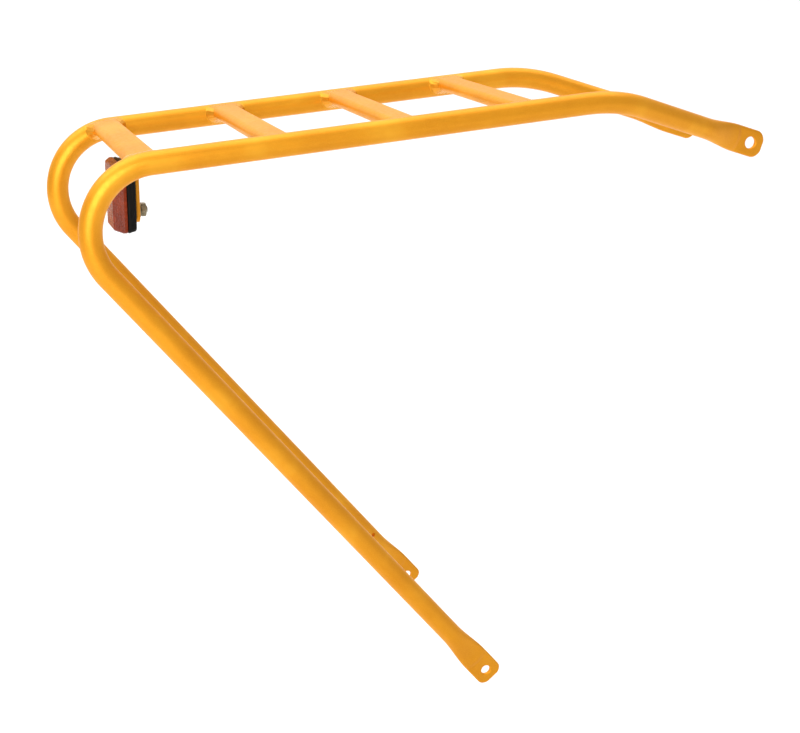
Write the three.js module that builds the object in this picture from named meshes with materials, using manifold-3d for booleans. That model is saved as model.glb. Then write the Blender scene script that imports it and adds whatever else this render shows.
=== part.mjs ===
// Bicycle rear rack: two bent side rails, four flat crossbars welded between them, and a
// rear reflector bolted to a bracket under the rearmost bar.
// Millimetres. +X points to the front of the bicycle, +Y to its left and +Z up.
// The origin is midway between the two lower mounting eyes.
import * as THREE from 'three';
import { mergeVertices } from 'three/addons/utils/BufferGeometryUtils.js';
import Module from 'manifold-3d';

const wasm = await Module();
wasm.setup();

// ---- driving dimensions -------------------------------------------------------------

const TUBE_RADIUS = 7;
const TUBE_SIDES = 24;
const WALL = 1.2;
const GAP = 0.3; // left between pieces that touch

// The rail's corner points, before the bends are rounded. HALF is the distance from the
// rack's middle plane.
const LOWER_HALF = 78.5;
const DECK_HALF = 70;
const FRONT_HALF = 43;
const DECK_HEIGHT = 377;
const REAR_CORNER_X = -259;
const FRONT_CORNER_X = 116;
const FRONT_EYE_X = 230;
const FRONT_EYE_HEIGHT = 330.5;
const HAIRPIN_RADIUS = 40;
const FRONT_BEND_RADIUS = 98;

// The pressed flat end of a rail.
const TAB_WIDTH = 18.5;
const TAB_THICKNESS = 2.6;
const CREASE_FROM_EYE = 11;
const CREASE_RADIUS = 4;
const CREASE_STEP = 2.2; // along the rail, where the pressed tube's belly ends
const BELLY = 0.21; // how much of the tube's roundness is left up to the crease
const FLARE_FROM_EYE = 50;
const FLARE_START = 42;
const LOWER_EYE = { radius: 3.25, tip: 8 };
const FRONT_EYE = { radius: 4.1, tip: 9.5 };
const VENT_RADIUS = 1.5;
const VENT_FROM_EYE = 51;
const VENT_TURN = THREE.MathUtils.degToRad(24);

// The crossbars are the same tube pressed to a flat oval.
const BAR_COUNT = 4;
const BAR_PITCH = 80;
const FIRST_BAR_X = -187;
const BAR_WIDTH = 18;
const BAR_THICKNESS = 8;
const BAR_TOP = DECK_HEIGHT + 6.3;
const BAR_HEIGHT = BAR_TOP - BAR_THICKNESS / 2;
const BEAD_LEG = 3;

// The reflector. Its own frame stands on the stud's axis at the front face of the bracket.
const STUD_POINT = new THREE.Vector3(-183.2, 0, 336);
const BRACKET_TILT = THREE.MathUtils.degToRad(5);
const BRACKET_WIDTH = 18;
const BRACKET_THICKNESS = 2.5;
const BRACKET_BELOW_STUD = 7;
const BRACKET_CORNER = 5;
const REFLECTOR_WIDTH = 50;
const REFLECTOR_HEIGHT = 40;
const REFLECTOR_ABOVE_STUD = 10; // from the stud to the reflector's middle
const REFLECTOR_CORNER = 4;
const BOSS_RADIUS = 8;
const BOSS_HEIGHT = 2.2;
const HOUSING_DEPTH = 5.3;
const LENS_EDGE_DEPTH = 1.4;
const LENS_CENTRE_WIDTH = 22;
const LENS_SIDE_RISE = 5.3;
const STUD_RADIUS = 2.5;
const STUD_HOLE_RADIUS = STUD_RADIUS + GAP;
const STUD_IN_HOUSING = 6;
const STUD_FREE_LENGTH = 5.8;
const WASHER_RADIUS = 5;
const WASHER_THICKNESS = 1;
const NUT_ACROSS_FLATS = 8;
const NUT_THICKNESS = 3.2;

// ---- solids -------------------------------------------------------------------------

function solid(geometry) {
  const bare = geometry.index ? geometry.toNonIndexed() : geometry.clone();
  bare.deleteAttribute('normal');
  bare.deleteAttribute('uv');
  const merged = mergeVertices(bare, 1e-4);
  return new wasm.Manifold(new wasm.Mesh({
    numProp: 3,
    vertProperties: new Float32Array(merged.attributes.position.array),
    triVerts: new Uint32Array(merged.index.array),
  }));
}

function geometryOf(body) {
  const mesh = body.getMesh();
  const geometry = new THREE.BufferGeometry();
  geometry.setAttribute('position', new THREE.BufferAttribute(mesh.vertProperties, 3));
  geometry.setIndex(new THREE.BufferAttribute(mesh.triVerts, 1));
  geometry.computeVertexNormals();
  return geometry;
}

// A cylinder of the given length, centred on a point and pointing along a direction.
function rod(radius, length, centre, direction, sides = 16) {
  const geometry = new THREE.CylinderGeometry(radius, radius, length, sides);
  const turn = new THREE.Quaternion().setFromUnitVectors(new THREE.Vector3(0, 1, 0), direction);
  return geometry.applyQuaternion(turn).translate(centre.x, centre.y, centre.z);
}

// ---- a bent tube --------------------------------------------------------------------

// Stations along straight runs joined by arcs. Every section stands square to the path
// with one axis kept as near to the rack's Y as it can be, so the tube doesn't twist.
class BentPath extends THREE.Curve {
  constructor(corners, radii) {
    super();
    this.places = [];
    this.directions = [];
    for (let i = 1; i < corners.length - 1; i++) {
      this.addBend(corners[i - 1], corners[i], corners[i + 1], radii[i - 1]);
    }
    const [beforeLast, last] = corners.slice(-2);
    const first = corners[1].clone().sub(corners[0]).normalize();
    this.places.unshift(corners[0].clone());
    this.directions.unshift(first);
    this.places.push(last.clone());
    this.directions.push(last.clone().sub(beforeLast).normalize());
  }

  addBend(from, corner, to, radius) {
    const inward = corner.clone().sub(from).normalize();
    const outward = to.clone().sub(corner).normalize();
    const turn = inward.angleTo(outward);
    if (turn < 1e-3) {
      this.places.push(corner.clone());
      this.directions.push(inward);
      return;
    }
    const side = outward.clone().addScaledVector(inward, -Math.cos(turn)).normalize();
    const start = corner.clone().addScaledVector(inward, -radius * Math.tan(turn / 2));
    const steps = Math.max(1, Math.round(turn / BentPath.stepAngle));
    for (let k = 0; k <= steps; k++) {
      const angle = (turn * k) / steps;
      this.places.push(start.clone()
        .addScaledVector(inward, radius * Math.sin(angle))
        .addScaledVector(side, radius * (1 - Math.cos(angle))));
      this.directions.push(inward.clone().multiplyScalar(Math.cos(angle))
        .addScaledVector(side, Math.sin(angle)));
    }
  }

  get steps() {
    return this.places.length - 1;
  }

  getPoint(t) {
    return this.places[Math.round(t * this.steps)].clone();
  }

  getPointAt(u) {
    return this.getPoint(u);
  }

  computeFrenetFrames() {
    const sideways = new THREE.Vector3(0, 1, 0);
    const normals = this.directions.map(
      (d) => sideways.clone().addScaledVector(d, -sideways.dot(d)).normalize());
    const binormals = this.directions.map((d, i) => d.clone().cross(normals[i]));
    return { tangents: this.directions, normals, binormals };
  }
}
BentPath.stepAngle = THREE.MathUtils.degToRad(9);

function sweptTube(corners, radii, radius, sides) {
  const circle = new THREE.Shape();
  circle.absarc(0, 0, radius, 0, 2 * Math.PI);
  const path = new BentPath(corners, radii);
  return new THREE.ExtrudeGeometry(circle, {
    steps: path.steps,
    curveSegments: sides / 2, // a circle gets two points for each
    extrudePath: path,
  });
}

// ---- side rails ---------------------------------------------------------------------

// Everything that depends on one end of a rail: its eye, the line from the eye into the
// tube seen from the side, and the slope of the tube's middle plane beyond the crease.
function railEnd(eye, corner, size) {
  const along = corner.clone().sub(eye).setY(0);
  const reach = along.length();
  along.normalize();
  const across = new THREE.Vector3(-along.z, 0, along.x);
  const slope = (corner.y - eye.y) / (reach - CREASE_FROM_EYE);
  const at = (distance) => eye.clone().addScaledVector(along, distance)
    .setY(eye.y + slope * Math.max(0, distance - CREASE_FROM_EYE));
  return { eye, along, across, slope, at, ...size };
}

function railCorners(side) {
  const rear = new THREE.Vector3(REAR_CORNER_X, side * DECK_HALF, DECK_HEIGHT);
  const front = new THREE.Vector3(FRONT_CORNER_X, side * DECK_HALF, DECK_HEIGHT);
  const lowerEye = new THREE.Vector3(0, side * LOWER_HALF, 0);
  const frontEye = new THREE.Vector3(FRONT_EYE_X, side * FRONT_HALF, FRONT_EYE_HEIGHT);
  return {
    rear,
    front,
    lower: railEnd(lowerEye, rear, LOWER_EYE),
    upper: railEnd(frontEye, front, FRONT_EYE),
  };
}

// Presses the round tube flat towards an eye: full width and plate thickness from the
// crease to the tip. Some belly is left in the flare right up to the crease.
function pressEnd(geometry, end) {
  const position = geometry.attributes.position;
  const point = new THREE.Vector3();
  for (let i = 0; i < position.count; i++) {
    point.fromBufferAttribute(position, i).sub(end.eye);
    const distance = point.dot(end.along);
    if (distance > FLARE_FROM_EYE) continue;
    const middle = end.at(distance);
    const share = THREE.MathUtils.smoothstep(
      FLARE_START - distance, 0, FLARE_START - CREASE_FROM_EYE);
    const step = THREE.MathUtils.smoothstep(
      CREASE_FROM_EYE + CREASE_STEP / 2 - distance, 0, CREASE_STEP);
    const flat = share * (1 - BELLY + BELLY * step);
    const across = point.dot(end.across);
    const out = point.y + end.eye.y - middle.y;
    const plate = THREE.MathUtils.clamp((1.7 * out) / TUBE_RADIUS, -1, 1) * TAB_THICKNESS / 2;
    const wide = (across / TUBE_RADIUS) * (TAB_WIDTH / 2);
    middle.addScaledVector(end.across, THREE.MathUtils.lerp(across, wide, share));
    middle.y += THREE.MathUtils.lerp(out, plate, flat);
    position.setXYZ(i, middle.x, middle.y, middle.z);
  }
}

// What is cut away round the rounded tip of a tab, as a prism across the plate.
function tipTrim(end) {
  const half = TAB_WIDTH / 2 + 0.05;
  const tip = -end.tip;
  const clear = 30;
  const shape = new THREE.Shape();
  shape.moveTo(-clear, -clear);
  shape.lineTo(0, -clear);
  shape.lineTo(0, -half);
  shape.lineTo(tip + 5.5, -half);
  shape.quadraticCurveTo(tip + 1.6, -half, tip + 0.8, -half + 4.5);
  shape.quadraticCurveTo(tip - 0.8, 0, tip + 0.8, half - 4.5);
  shape.quadraticCurveTo(tip + 1.6, half, tip + 5.5, half);
  shape.lineTo(0, half);
  shape.lineTo(0, clear);
  shape.lineTo(-clear, clear);
  const depth = 20;
  const geometry = new THREE.ExtrudeGeometry(
    shape, { depth, steps: 1, bevelEnabled: false, curveSegments: 5 });
  geometry.translate(0, 0, -depth / 2);
  const basis = new THREE.Matrix4().makeBasis(
    end.along, end.across, end.along.clone().cross(end.across));
  return geometry.applyMatrix4(basis).translate(end.eye.x, end.eye.y, end.eye.z);
}

function ventDrill(side, end) {
  const tube = end.at(FLARE_FROM_EYE * 2).sub(end.at(FLARE_FROM_EYE)).normalize();
  const inward = new THREE.Vector3(0, -side, 0);
  inward.addScaledVector(tube, -inward.dot(tube)).normalize();
  const forward = tube.clone().cross(inward).normalize();
  if (forward.x < 0) forward.negate();
  const direction = inward.multiplyScalar(Math.cos(VENT_TURN))
    .addScaledVector(forward, Math.sin(VENT_TURN));
  const centre = end.at(VENT_FROM_EYE).addScaledVector(direction, TUBE_RADIUS);
  return rod(VENT_RADIUS, TUBE_RADIUS * 1.5, centre, direction, 12);
}

function rail(side) {
  const { rear, front, lower, upper } = railCorners(side);
  const half = CREASE_STEP / 2;
  const stops = [CREASE_FROM_EYE - half, CREASE_FROM_EYE, CREASE_FROM_EYE + half,
    16, 21, 26, 31, 36, FLARE_START];
  const turns = stops.map((distance) => (distance === CREASE_FROM_EYE ? CREASE_RADIUS : 0));
  const outline = [
    lower.at(-lower.tip - 2), ...stops.map((distance) => lower.at(distance)),
    rear, front,
    ...stops.toReversed().map((distance) => upper.at(distance)), upper.at(-upper.tip - 2),
  ];
  const bends = [...turns, HAIRPIN_RADIUS, FRONT_BEND_RADIUS, ...turns.toReversed()];
  const skin = sweptTube(outline, bends, TUBE_RADIUS, TUBE_SIDES);
  pressEnd(skin, lower);
  pressEnd(skin, upper);
  const hollow = sweptTube(
    [lower.at(FLARE_FROM_EYE), rear, front, upper.at(FLARE_FROM_EYE)],
    [HAIRPIN_RADIUS, FRONT_BEND_RADIUS], TUBE_RADIUS - WALL, TUBE_SIDES / 2);
  let body = solid(skin).subtract(solid(hollow)).subtract(solid(ventDrill(side, lower)));
  const across = new THREE.Vector3(0, 1, 0);
  for (const end of [lower, upper]) {
    body = body.subtract(solid(tipTrim(end)));
    body = body.subtract(solid(rod(end.radius, 20, end.eye, across, 24)));
  }
  return body;
}

// The deck run of a rail with the gap added all round, for cutting what is welded to it.
function railClearance(side) {
  const { rear, front, lower, upper } = railCorners(side);
  return solid(sweptTube(
    [lower.at(FLARE_FROM_EYE), rear, front, upper.at(FLARE_FROM_EYE)],
    [HAIRPIN_RADIUS, FRONT_BEND_RADIUS], TUBE_RADIUS + GAP, TUBE_SIDES));
}

// ---- crossbars and their weld beads ---------------------------------------------------

// A flat oval in the X-Z plane, grown by a margin all round.
function flatOval(target, margin) {
  const radius = BAR_THICKNESS / 2 + margin;
  const reach = (BAR_WIDTH - BAR_THICKNESS) / 2;
  target.absarc(reach, 0, radius, -Math.PI / 2, Math.PI / 2);
  target.absarc(-reach, 0, radius, Math.PI / 2, 1.5 * Math.PI);
  return target;
}

// Turns a shape drawn in X and Z into a prism along Y from one place to another.
function prismAlongY(shape, from, to, options = {}) {
  const depth = to - from;
  const geometry = new THREE.ExtrudeGeometry(
    shape, { depth, steps: 1, bevelEnabled: false, curveSegments: 5, ...options });
  return geometry.rotateX(Math.PI / 2).translate(0, to, 0);
}

// Where a bar lies. One that starts past the end of the straight deck follows the hairpin
// bend, tilted and lowered with the rails.
function barPlace(index) {
  const x = FIRST_BAR_X + BAR_PITCH * index;
  const turn = Math.PI - Math.atan2(DECK_HEIGHT, -REAR_CORNER_X);
  const bendStart = REAR_CORNER_X + HAIRPIN_RADIUS * Math.tan(turn / 2);
  const tilt = Math.asin(Math.max(0, bendStart - x) / HAIRPIN_RADIUS);
  const drop = HAIRPIN_RADIUS * (1 - Math.cos(tilt));
  return new THREE.Matrix4().makeRotationY(-tilt).setPosition(x, 0, BAR_HEIGHT - drop);
}

function crossbar(index, clearances) {
  const oval = flatOval(new THREE.Shape(), 0);
  oval.holes.push(flatOval(new THREE.Path(), -WALL));
  const bar = prismAlongY(oval, -DECK_HALF, DECK_HALF).applyMatrix4(barPlace(index));
  return clearances.reduce((body, clearance) => body.subtract(clearance), solid(bar));
}

function barClearance(index) {
  const oval = flatOval(new THREE.Shape(), GAP);
  return solid(prismAlongY(oval, -DECK_HALF, DECK_HALF).applyMatrix4(barPlace(index)));
}

// The bead round the end of a bar. It is dressed flush along the bar's top.
function weldBead(index, side, clearances) {
  const inner = DECK_HALF - TUBE_RADIUS - 1.6;
  const core = 3.4;
  const geometry = prismAlongY(flatOval(new THREE.Shape(), 0.1), inner, inner + core, {
    bevelEnabled: true, bevelThickness: BEAD_LEG, bevelSize: BEAD_LEG, bevelSegments: 3,
  });
  if (side < 0) geometry.rotateZ(Math.PI);
  const dressed = new THREE.BoxGeometry(BAR_WIDTH * 2, DECK_HALF * 4, BAR_THICKNESS);
  dressed.translate(0, 0, BAR_THICKNESS - 0.7);
  const place = barPlace(index);
  const bead = solid(geometry.applyMatrix4(place)).subtract(solid(dressed.applyMatrix4(place)));
  return clearances.reduce((body, clearance) => body.subtract(clearance), bead);
}

// ---- reflector, drawn in its own frame ------------------------------------------------

// In the reflector's frame X is the stud's axis, with the bracket's front face at X = 0.
const BOSS_FRONT = -BRACKET_THICKNESS - GAP;
const HOUSING_FRONT = BOSS_FRONT - BOSS_HEIGHT;
const HOUSING_BACK = HOUSING_FRONT - HOUSING_DEPTH;
const LENS_FRONT = HOUSING_BACK - GAP;
const LENS_EDGE = LENS_FRONT - LENS_EDGE_DEPTH;
const LENS_FACE = LENS_EDGE - LENS_SIDE_RISE;
const STUD_AXIS = new THREE.Vector3(1, 0, 0);

function roundedRectangle(width, low, high, corner) {
  const half = width / 2;
  const shape = new THREE.Shape();
  shape.absarc(half - corner, high - corner, corner, 0, Math.PI / 2);
  shape.absarc(-half + corner, high - corner, corner, Math.PI / 2, Math.PI);
  shape.absarc(-half + corner, low + corner, corner, Math.PI, 1.5 * Math.PI);
  shape.absarc(half - corner, low + corner, corner, 1.5 * Math.PI, 2 * Math.PI);
  return shape;
}

// Turns a shape drawn in Y and Z into a plate along X.
function plateAlongX(shape, from, to, curveSegments = 6) {
  const geometry = new THREE.ExtrudeGeometry(
    shape, { depth: to - from, steps: 1, bevelEnabled: false, curveSegments });
  const basis = new THREE.Matrix4().makeBasis(
    new THREE.Vector3(0, 1, 0), new THREE.Vector3(0, 0, 1), new THREE.Vector3(1, 0, 0));
  return geometry.applyMatrix4(basis).translate(from, 0, 0);
}

function studDrill(from, to) {
  const centre = new THREE.Vector3((from + to) / 2, 0, 0);
  return solid(rod(STUD_HOLE_RADIUS, to - from, centre, STUD_AXIS, 20));
}

const REFLECTOR_LOW = REFLECTOR_ABOVE_STUD - REFLECTOR_HEIGHT / 2;
const REFLECTOR_HIGH = REFLECTOR_ABOVE_STUD + REFLECTOR_HEIGHT / 2;

// The flat case behind the lens, with a round boss that meets the bracket.
function housing() {
  const outline = roundedRectangle(
    REFLECTOR_WIDTH, REFLECTOR_LOW, REFLECTOR_HIGH, REFLECTOR_CORNER);
  const bossReach = BOSS_HEIGHT + 1;
  const bossCentre = new THREE.Vector3(BOSS_FRONT - bossReach / 2, 0, 0);
  return solid(plateAlongX(outline, HOUSING_BACK, HOUSING_FRONT))
    .add(solid(rod(BOSS_RADIUS, bossReach, bossCentre, STUD_AXIS, 32)))
    .subtract(studDrill(BOSS_FRONT - STUD_IN_HOUSING - GAP, BOSS_FRONT + 1));
}

// The lens bulges to the rear in three flat facets with a short upright rim.
function lens() {
  const half = REFLECTOR_WIDTH / 2;
  const plan = new THREE.Shape();
  plan.moveTo(LENS_FRONT, -half);
  plan.lineTo(LENS_FRONT, half);
  plan.lineTo(LENS_EDGE, half);
  plan.lineTo(LENS_FACE, LENS_CENTRE_WIDTH / 2);
  plan.lineTo(LENS_FACE, -LENS_CENTRE_WIDTH / 2);
  plan.lineTo(LENS_EDGE, -half);
  const tall = new THREE.ExtrudeGeometry(
    plan, { depth: REFLECTOR_HEIGHT, steps: 1, bevelEnabled: false });
  tall.translate(0, 0, REFLECTOR_LOW);
  const outline = roundedRectangle(
    REFLECTOR_WIDTH, REFLECTOR_LOW, REFLECTOR_HIGH, REFLECTOR_CORNER);
  return solid(tall).intersect(solid(plateAlongX(outline, LENS_FACE - 1, LENS_FRONT + 1)));
}

function washer() {
  const low = GAP;
  const high = low + WASHER_THICKNESS;
  const centre = new THREE.Vector3((low + high) / 2, 0, 0);
  return solid(rod(WASHER_RADIUS, WASHER_THICKNESS, centre, STUD_AXIS, 24))
    .subtract(studDrill(low - 1, high + 1));
}

function nut() {
  const low = 2 * GAP + WASHER_THICKNESS;
  const high = low + NUT_THICKNESS;
  const corner = NUT_ACROSS_FLATS / Math.sqrt(3);
  const centre = new THREE.Vector3((low + high) / 2, 0, 0);
  return solid(rod(corner, NUT_THICKNESS, centre, STUD_AXIS, 6))
    .subtract(studDrill(low - 1, high + 1));
}

function stud() {
  const length = STUD_IN_HOUSING + BRACKET_THICKNESS + GAP + STUD_FREE_LENGTH;
  const profile = [[0, 0], [STUD_RADIUS, 0], [STUD_RADIUS, length - 0.8],
    [STUD_RADIUS - 0.8, length], [0, length]];
  const geometry = new THREE.LatheGeometry(profile.map(([x, y]) => new THREE.Vector2(x, y)), 16);
  return geometry.rotateZ(-Math.PI / 2)
    .translate(BOSS_FRONT - STUD_IN_HOUSING, 0, 0);
}

// The bracket and its bead are cut to the bar they hang from, so they are drawn in the
// reflector's frame and then moved to the rack's.
const toRack = new THREE.Matrix4().compose(
  STUD_POINT,
  new THREE.Quaternion().setFromAxisAngle(new THREE.Vector3(0, 1, 0), BRACKET_TILT),
  new THREE.Vector3(1, 1, 1));
const BRACKET_TOP = (BAR_HEIGHT - STUD_POINT.z) / Math.cos(BRACKET_TILT);

function bracketPlate(margin) {
  const outline = roundedRectangle(BRACKET_WIDTH + 2 * margin,
    -BRACKET_BELOW_STUD - margin, BRACKET_TOP, BRACKET_CORNER);
  return plateAlongX(outline, -BRACKET_THICKNESS - margin, margin);
}

function bracket(barClear) {
  const plate = solid(bracketPlate(0)).subtract(studDrill(-BRACKET_THICKNESS - 1, 1));
  return solid(geometryOf(plate).applyMatrix4(toRack)).subtract(barClear);
}

function bracketBead(barClear) {
  const under = BRACKET_TOP - BAR_THICKNESS / 2;
  const leg = 2.2;
  const ring = new THREE.Shape();
  const half = BRACKET_WIDTH / 2;
  ring.moveTo(-BRACKET_THICKNESS, -half);
  ring.lineTo(0, -half);
  ring.lineTo(0, half);
  ring.lineTo(-BRACKET_THICKNESS, half);
  const geometry = new THREE.ExtrudeGeometry(ring, {
    depth: 2.4, steps: 1, bevelEnabled: true, bevelThickness: leg, bevelSize: leg, bevelSegments: 3,
  });
  geometry.translate(0, 0, under).applyMatrix4(toRack);
  const below = solid(geometry).subtract(barClear);
  return below.subtract(solid(bracketPlate(GAP).applyMatrix4(toRack)));
}

// ---- assembly -------------------------------------------------------------------------

const paint = { color: 0xe79a2b, roughness: 0.38, metalness: 0.35 };
const black = { color: 0x17130f, roughness: 0.45, metalness: 0 };
const red = { color: 0x8f2b22, roughness: 0.25, metalness: 0 };
const zinc = { color: 0x9a9684, roughness: 0.4, metalness: 0.9 };

const rack = new THREE.Group();
const reflector = new THREE.Group();
reflector.applyMatrix4(toRack);
rack.add(reflector);

function place(group, name, shape, look) {
  const geometry = shape.isBufferGeometry ? shape : geometryOf(shape);
  const mesh = new THREE.Mesh(geometry, new THREE.MeshStandardMaterial(look));
  mesh.name = name;
  group.add(mesh);
}

const SIDES = { right: -1, left: 1 };
const clearances = Object.fromEntries(
  Object.entries(SIDES).map(([name, side]) => [name, railClearance(side)]));

for (const [name, side] of Object.entries(SIDES)) {
  place(rack, `${name}_rail`, rail(side), paint);
}
for (let i = 0; i < BAR_COUNT; i++) {
  place(rack, `crossbar_${i + 1}`, crossbar(i, Object.values(clearances)), paint);
  for (const [name, side] of Object.entries(SIDES)) {
    const bead = weldBead(i, side, [clearances[name], barClearance(i)]);
    place(rack, `crossbar_${i + 1}_weld_${name}`, bead, paint);
  }
}
place(rack, 'reflector_bracket', bracket(barClearance(0)), paint);
place(rack, 'reflector_bracket_weld', bracketBead(barClearance(0)), paint);
place(reflector, 'reflector_housing', housing(), black);
place(reflector, 'reflector_lens', lens(), red);
place(reflector, 'reflector_stud', stud(), zinc);
place(reflector, 'reflector_washer', washer(), zinc);
place(reflector, 'reflector_nut', nut(), zinc);

export default rack;
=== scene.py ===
"""Bicycle rear rack: its looks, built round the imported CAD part.

The frame is in metres, with +X to the front, +Y to the left and +Z up. Sizes below are in
millimetres unless they say otherwise.
"""

import math

import bmesh
import bpy
from mathutils import Matrix, Vector


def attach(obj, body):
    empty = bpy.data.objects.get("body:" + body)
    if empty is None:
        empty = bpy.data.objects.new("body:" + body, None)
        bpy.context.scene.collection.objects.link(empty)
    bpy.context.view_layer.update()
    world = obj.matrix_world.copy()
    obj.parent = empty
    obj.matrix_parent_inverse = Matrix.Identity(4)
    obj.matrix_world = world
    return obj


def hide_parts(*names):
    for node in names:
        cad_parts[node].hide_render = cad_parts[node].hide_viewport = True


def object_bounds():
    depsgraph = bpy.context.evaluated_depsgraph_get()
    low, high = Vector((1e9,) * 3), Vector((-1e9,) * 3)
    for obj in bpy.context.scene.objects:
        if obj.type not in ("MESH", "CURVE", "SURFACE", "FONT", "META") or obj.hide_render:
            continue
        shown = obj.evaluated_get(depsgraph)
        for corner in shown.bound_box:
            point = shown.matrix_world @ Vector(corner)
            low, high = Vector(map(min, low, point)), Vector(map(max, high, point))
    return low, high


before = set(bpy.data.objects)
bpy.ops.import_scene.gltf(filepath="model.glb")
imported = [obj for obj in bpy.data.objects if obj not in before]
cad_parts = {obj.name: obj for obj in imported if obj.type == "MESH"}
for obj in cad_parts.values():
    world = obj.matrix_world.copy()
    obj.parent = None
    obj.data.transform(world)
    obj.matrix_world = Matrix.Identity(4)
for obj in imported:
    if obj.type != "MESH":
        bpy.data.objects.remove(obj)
CAD_LOW, CAD_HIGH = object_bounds()

# metres in a millimetre, and how near in metres two points are merged
MM = 0.001
MERGE_DISTANCE = 1e-6

# the floor in metres: how far it lies below the object, and the pool of painted shade on it
FLOOR_DROP = 0.35
SHADE_POOL_CENTRE_Y = -0.7
SHADE_POOL_INNER = 0.2
SHADE_POOL_OUTER = 1.15

# ---- driving dimensions, in millimetres as in the CAD part ----------------------------

# the rails' tube, the gap left where two pieces meet, and the rails' path: its half widths at
# the lower eyes, the deck and the front eyes, and its corners before they are bent round
TUBE_RADIUS = 7.0
GAP = 0.15
LOWER_HALF = 78.5
DECK_HALF = 70.0
FRONT_HALF = 43.0
DECK_HEIGHT = 377.0
REAR_CORNER_X = -259.0
FRONT_CORNER_X = 116.0
FRONT_EYE_X = 230.0
FRONT_EYE_HEIGHT = 330.5
HAIRPIN_RADIUS = 40.0
FRONT_BEND_RADIUS = 98.0

# the pressed ends, measured from the eye along the tube
TAB_WIDTH = 18.5
TAB_THICKNESS = 2.6
CREASE_FROM_EYE = 11.0
FLARE_FROM_EYE = 50.0
FLARE_START = 42.0
CREASE_BOW = 2.6
STEP_LENGTH = 4.6
BELLY = 0.22
CREASE_SHIFT = 0.6
CREASE_ROUNDING = 1.2
LOWER_EYE_RADIUS = 3.25
LOWER_TIP = 8.0
LOWER_ROUNDING = 4.5
FRONT_EYE_RADIUS = 4.1
FRONT_TIP = 9.5
FRONT_ROUNDING = 6.0
VENT_RADIUS = 1.5
VENT_FROM_EYE = 51.0
VENT_TURN = math.radians(24)

# the crossbars, counted from the rear
BAR_COUNT = 4
BAR_PITCH = 80.0
FIRST_BAR_X = -187.0
BAR_WIDTH = 18.0
BAR_THICKNESS = 8.0
BAR_TOP = DECK_HEIGHT + 6.3
BAR_HEIGHT = BAR_TOP - BAR_THICKNESS / 2

# the bracket and the reflector; their fronts, backs and edges are places along the stud,
# measured forward from the bracket's front face
STUD_POINT = (-183.2, 0.0, 336.0)
BRACKET_TILT = math.radians(5)
BRACKET_WIDTH = 18.0
BRACKET_THICKNESS = 2.5
BRACKET_BELOW_STUD = 7.0
BRACKET_CORNER = 5.0
REFLECTOR_WIDTH = 50.0
REFLECTOR_HEIGHT = 40.0
REFLECTOR_ABOVE_STUD = 10.0
REFLECTOR_CORNER = 4.0
BOSS_FRONT = -2.8
BOSS_RADIUS = 8.0
HOUSING_FRONT = -5.0
HOUSING_BACK = -10.3
LENS_FRONT = -10.6
LENS_EDGE = -12.0
LENS_FACE = -17.3
LENS_CENTRE_WIDTH = 22.0
STUD_RADIUS = 2.5
STUD_CLEARANCE = 0.3
STUD_END = 5.8
WASHER_RADIUS = 5.0
NUT_ACROSS_FLATS = 8.0
NUT_LOW = 1.6
NUT_HIGH = 4.8
REFLECTOR_LOW = REFLECTOR_ABOVE_STUD - REFLECTOR_HEIGHT / 2
REFLECTOR_HIGH = REFLECTOR_ABOVE_STUD + REFLECTOR_HEIGHT / 2


# ---- helpers --------------------------------------------------------------------------

def smoothstep(value):
    """Runs smoothly from 0 to 1 as the value goes from 0 to 1."""
    value = min(1.0, max(0.0, value))
    return value * value * (3 - 2 * value)


def piece(node, vertices, faces, material, body, smooth_angle):
    """Makes the piece that stands for a CAD node, from millimetre points."""
    name = f"{node}_looks"
    mesh = bpy.data.meshes.new(name)
    mesh.from_pydata([tuple(MM * c for c in v) for v in vertices], [], faces)
    mesh.validate()
    made = bpy.data.objects.new(name, mesh)
    bpy.context.scene.collection.objects.link(made)
    finish_piece(made, node, material, body, smooth_angle)


def finish_piece(made, node, material, body, smooth_angle):
    """Cleans the mesh, smooths it below an edge angle, and gives it its material and body."""
    work = bmesh.new()
    work.from_mesh(made.data)
    bmesh.ops.remove_doubles(work, verts=work.verts, dist=MERGE_DISTANCE)
    bmesh.ops.recalc_face_normals(work, faces=work.faces)
    for face in work.faces:
        face.smooth = True
    limit = math.radians(smooth_angle)
    for edge in work.edges:
        if len(edge.link_faces) == 2 and edge.calc_face_angle(0) > limit:
            edge.smooth = False
    work.to_mesh(made.data)
    work.free()
    made.data.materials.clear()
    made.data.materials.append(material)
    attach(made, body)
    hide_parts(node)


def apply_modifiers(made):
    """Turns the object's modifiers into plain mesh."""
    bpy.context.view_layer.update()
    graph = bpy.context.evaluated_depsgraph_get()
    mesh = bpy.data.meshes.new_from_object(made.evaluated_get(graph))
    made.modifiers.clear()
    made.data = mesh


def change_solid(made, other, operation):
    """Joins another solid to the object, or cuts it away, and removes the other."""
    change = made.modifiers.new("change", "BOOLEAN")
    change.operation = operation
    change.solver = "EXACT"
    change.object = other
    apply_modifiers(made)
    bpy.data.objects.remove(other)


def subtract(made, cutter):
    """Cuts a solid away from the object."""
    change_solid(made, cutter, "DIFFERENCE")


def plain_object(name, points, faces):
    """An object with clean outward faces from millimetre points, with no finish yet."""
    mesh = bpy.data.meshes.new(name)
    mesh.from_pydata([tuple(MM * c for c in v) for v in points], [], faces)
    made = bpy.data.objects.new(name, mesh)
    bpy.context.scene.collection.objects.link(made)
    work = bmesh.new()
    work.from_mesh(mesh)
    bmesh.ops.remove_doubles(work, verts=work.verts, dist=MERGE_DISTANCE)
    bmesh.ops.recalc_face_normals(work, faces=work.faces)
    work.to_mesh(mesh)
    work.free()
    return made


def loop_faces(sections, count):
    """Faces of a closed band of sections, each a closed line of count points."""
    faces = []
    for k in range(sections):
        n = (k + 1) % sections
        for j in range(count):
            m = (j + 1) % count
            faces.append((k * count + j, n * count + j, n * count + m, k * count + m))
    return faces


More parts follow.
